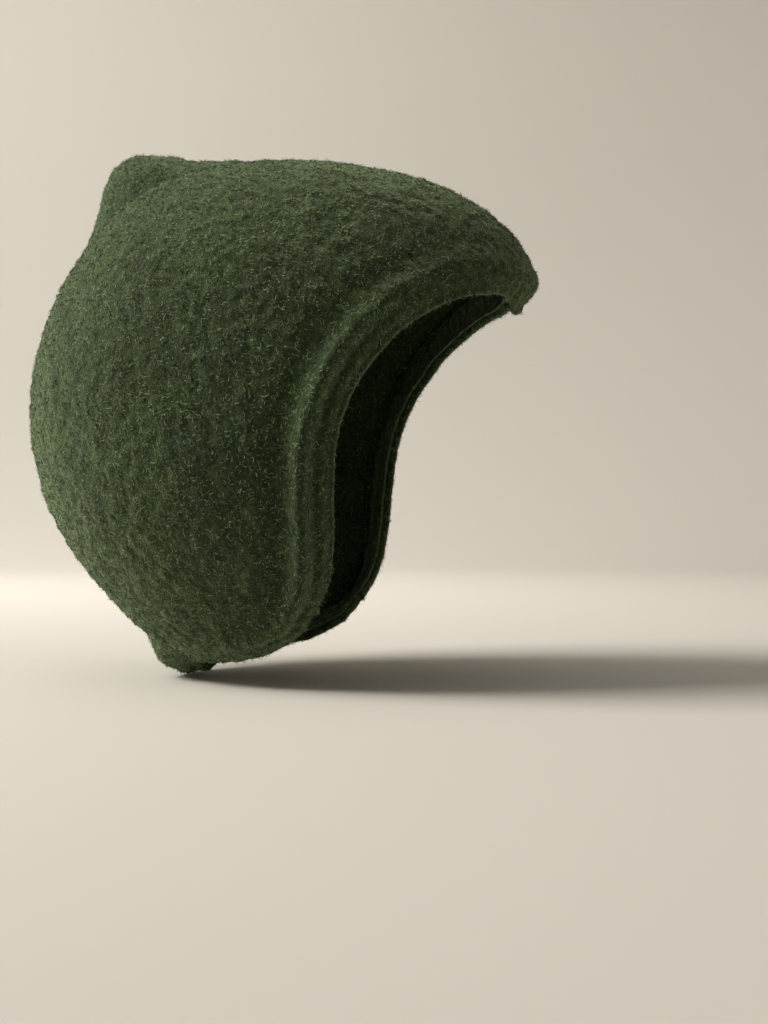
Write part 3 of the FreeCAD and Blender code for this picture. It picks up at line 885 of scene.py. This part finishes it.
class CAP_OT_hems(bpy.types.Operator):
    """Make the turned-in layer along the face and neck edges, and the stitches that hold it"""
    bl_idname = "cap.hems"
    bl_label = "Hems"

    def execute(self, context):
        shape, fuzz = context.scene.cap_shape, context.scene.cap_fuzz
        for seed, side in enumerate((RIGHT, LEFT)):
            face = edge_band(np.linspace(*FACE_HEM_RUN, FACE_HEM_STEPS), True, HEM_WIDTH)
            neck = edge_band(np.linspace(*NECK_HEM_RUN, NECK_HEM_STEPS), False, HEM_WIDTH)
            for name, places, nodes in (("face_hem_felt", face, (f"face_hem_{side}", f"flap_hem_{side}")),
                                        ("neck_hem_felt", neck, (f"neck_hem_{side}",))):
                piece = layer_under(f"{name}_{side}", places, HEM_LAYER, shape, side, felt())
                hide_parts(*nodes)
                fibres = fuzz_on(piece, f"fuzz_{name}_{side}", range(len(piece.data.polygons)), fuzz,
                                 40 + seed, HEM_FIBRES * MM)
                for one in [piece] + fibres:
                    flap_blend(one)
            lines = []
            for end, slant in zip(STITCH_ENDS, (STITCH_SLANT, 0)):
                shares = np.linspace(*STITCH_RUN, STITCHES) + slant
                places = edge_band(shares, True, end * HEM_WIDTH, 1)[1]
                points, normals = felt_surface(places, shape, side)
                lines.append(points - normals * (shape.fabric / MM + LAYER_GAP + HEM_LAYER))
            stitches = yarn_stitches(f"yarn_stitches_{side}", *lines, -normals, YARN / 2,
                                     made_once("Two-ply wool yarn", yarn_material))
            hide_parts(f"hem_stitches_{side}")
            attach(stitches, "crown")
        return {"FINISHED"}


class CAP_OT_seams(bpy.types.Operator):
    """Make the seam allowances that lie open inside along the middle"""
    bl_idname = "cap.seams"
    bl_label = "Seams"

    def execute(self, context):
        across = np.linspace(1 - SEAM_HALF_SHARE, 1 + SEAM_HALF_SHARE, SEAM_ACROSS)
        for seed, (node, start, end) in enumerate(SEAM_RUNS):
            angle, share = np.meshgrid(np.linspace(start, end, SEAM_STEPS), across, indexing="ij")
            # The seam allowances take a copy of the felt darkened by shade 0.85: painted shade for their
            # place inside the cap
            piece = layer_under(f"{node}_felt", on_disc(angle, share), SEAM_LAYER, context.scene.cap_shape,
                                RIGHT, felt("Fulled wool seam allowance", 0.85))
            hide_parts(node)
            fibres = fuzz_on(piece, f"fuzz_{node}", range(len(piece.data.polygons)), context.scene.cap_fuzz,
                             50 + seed, SEAM_FIBRES * MM)
            for one in [piece] + fibres:
                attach(one, "crown")
        return {"FINISHED"}


class CAP_OT_peak(bpy.types.Operator):
    """Make the small peak at the back of the crown"""
    bl_idname = "cap.peak"
    bl_label = "Peak"

    def execute(self, context):
        piece = standing_corner("felt_peak", PEAK_RUN, PEAK_HALF_SHARE, peak_rise, context.scene.cap_shape,
                                PEAK_FABRIC)
        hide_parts("peak_root", "peak_tip")
        fibres = fuzz_on(piece, "fuzz_peak", range(CORNER_COLUMNS * CORNER_ROWS), context.scene.cap_fuzz, 30)
        for one in [piece] + fibres:
            peak_blend(one)
        return {"FINISHED"}


class CAP_OT_nape_corner(bpy.types.Operator):
    """Make the small corner of the felt at the nape"""
    bl_idname = "cap.nape_corner"
    bl_label = "Nape corner"

    def execute(self, context):
        piece = standing_corner("felt_nape_corner", NAPE_RUN, NAPE_HALF_SHARE, nape_rise,
                                context.scene.cap_shape, NAPE_FABRIC)
        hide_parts("nape_corner")
        fibres = fuzz_on(piece, "fuzz_nape_corner", range(len(piece.data.polygons)), context.scene.cap_fuzz,
                         31)
        for one in [piece] + fibres:
            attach(one, "crown")
        return {"FINISHED"}


def make_backdrop(colour):
    """A round paper floor that curves up to a wall on every side."""
    ground = FRAME_BOX[0].z - FLOOR_GAP
    profile = [(FLOOR_RADIUS, 0.0)]
    for k in range(1, CURVE_STEPS + 1):
        turn = math.pi / 2 * k / CURVE_STEPS
        profile.append((FLOOR_RADIUS + CURVE_RADIUS * math.sin(turn), CURVE_RADIUS * (1 - math.cos(turn))))
    profile.append((FLOOR_RADIUS + CURVE_RADIUS, WALL_HEIGHT))
    size, points, faces = len(profile), [], []
    for k in range(BACKDROP_AROUND):
        turn = 2 * math.pi * k / BACKDROP_AROUND
        points += [(r * math.cos(turn), r * math.sin(turn), ground + h) for r, h in profile]
        a, b = k * size, (k + 1) % BACKDROP_AROUND * size
        faces.append((BACKDROP_AROUND * size, a, b))
        faces += [(a + i, a + i + 1, b + i + 1, b + i) for i in range(size - 1)]
    points.append((0, 0, ground))
    mesh = bpy.data.meshes.new("backdrop")
    mesh.from_pydata(points, [], faces)
    mesh.polygons.foreach_set("use_smooth", [True] * len(mesh.polygons))
    mesh.materials.append(paper_material("Backdrop paper", colour))
    return bpy.data.objects.new("backdrop", mesh)


def make_lamp(name, place, size, power, spread, colour, aim):
    """A square softbox, turned towards its aim."""
    light = bpy.data.lights.new(name, "AREA")
    light.shape, light.size, light.energy = "SQUARE", size, power
    light.spread = math.radians(spread)
    light.color = linear(colour)[:3]
    lamp = bpy.data.objects.new(name, light)
    lamp.location = place
    lamp.rotation_mode = "QUATERNION"
    lamp.rotation_quaternion = Vector(np.array(aim) - np.array(place)).to_track_quat("-Z", "Y")
    lamp.visible_camera = False
    return lamp


def make_camera(aim, settings):
    """A level camera with its aim in the middle of the picture."""
    data = bpy.data.cameras.new("Camera")
    data.sensor_width = 36.0
    data.lens = data.sensor_width * settings.distance / settings.field
    camera = bpy.data.objects.new("Camera", data)
    back = np.array([math.sin(settings.azimuth), -math.cos(settings.azimuth), 0])
    camera.location = aim + back * settings.distance
    camera.rotation_mode = "QUATERNION"
    camera.rotation_quaternion = Vector(-back).to_track_quat("-Z", "Y")
    return camera


class CAP_OT_stage(bpy.types.Operator):
    """Make the paper backdrop, the lights and the camera"""
    bl_idname = "cap.stage"
    bl_label = "Stage"

    def execute(self, context):
        scene, settings = context.scene, context.scene.cap_stage
        aim = np.array(settings.aim)
        backdrop, camera = make_backdrop(settings.backdrop), make_camera(aim, settings)
        lamps = [make_lamp(*light, aim if target is None else target) for *light, target in LIGHTS]
        for one in (backdrop, *lamps, camera):
            scene.collection.objects.link(one)
        scene.camera = camera
        scene.world = bpy.data.worlds.new("Studio")
        scene.world.use_nodes = True
        air = scene.world.node_tree.nodes["Background"].inputs
        air["Color"].default_value, air["Strength"].default_value = linear(WORLD_COLOUR), WORLD_STRENGTH
        return {"FINISHED"}


class CAP_PT_panel(bpy.types.Panel):
    """The cap's pieces and their settings"""
    bl_label = "Wool Cap"
    bl_idname = "CAP_PT_panel"
    bl_space_type = "VIEW_3D"
    bl_region_type = "UI"
    bl_category = "Wool Cap"

    def draw(self, context):
        for group in (context.scene.cap_shape, context.scene.felt_look, context.scene.cap_fuzz,
                      context.scene.cap_stage):
            box = self.layout.box()
            for name in group.bl_rna.properties.keys():
                if name not in ("rna_type", "name"):
                    box.prop(group, name)
        for operator in OPERATORS:
            self.layout.operator(operator.bl_idname)


GROUPS = {"cap_shape": CapShape, "felt_look": FeltLook, "cap_fuzz": FuzzSettings, "cap_stage": StageSettings}
OPERATORS = (CAP_OT_stage, CAP_OT_side_panels, CAP_OT_hems, CAP_OT_seams, CAP_OT_peak, CAP_OT_nape_corner)


def register():
    for one in (*GROUPS.values(), *OPERATORS, CAP_PT_panel):
        bpy.utils.register_class(one)
    for name, group in GROUPS.items():
        setattr(bpy.types.Scene, name, PointerProperty(type=group))


def unregister():
    for name in GROUPS:
        delattr(bpy.types.Scene, name)
    for one in (CAP_PT_panel, *reversed(OPERATORS), *reversed(GROUPS.values())):
        bpy.utils.unregister_class(one)


def main():
    register()
    context = bpy.context
    context.scene.view_settings.view_transform = "Standard"
    for operator in OPERATORS:
        family, name = operator.bl_idname.split(".")
        getattr(getattr(bpy.ops, family), name)()


if __name__ == "__main__":
    main()
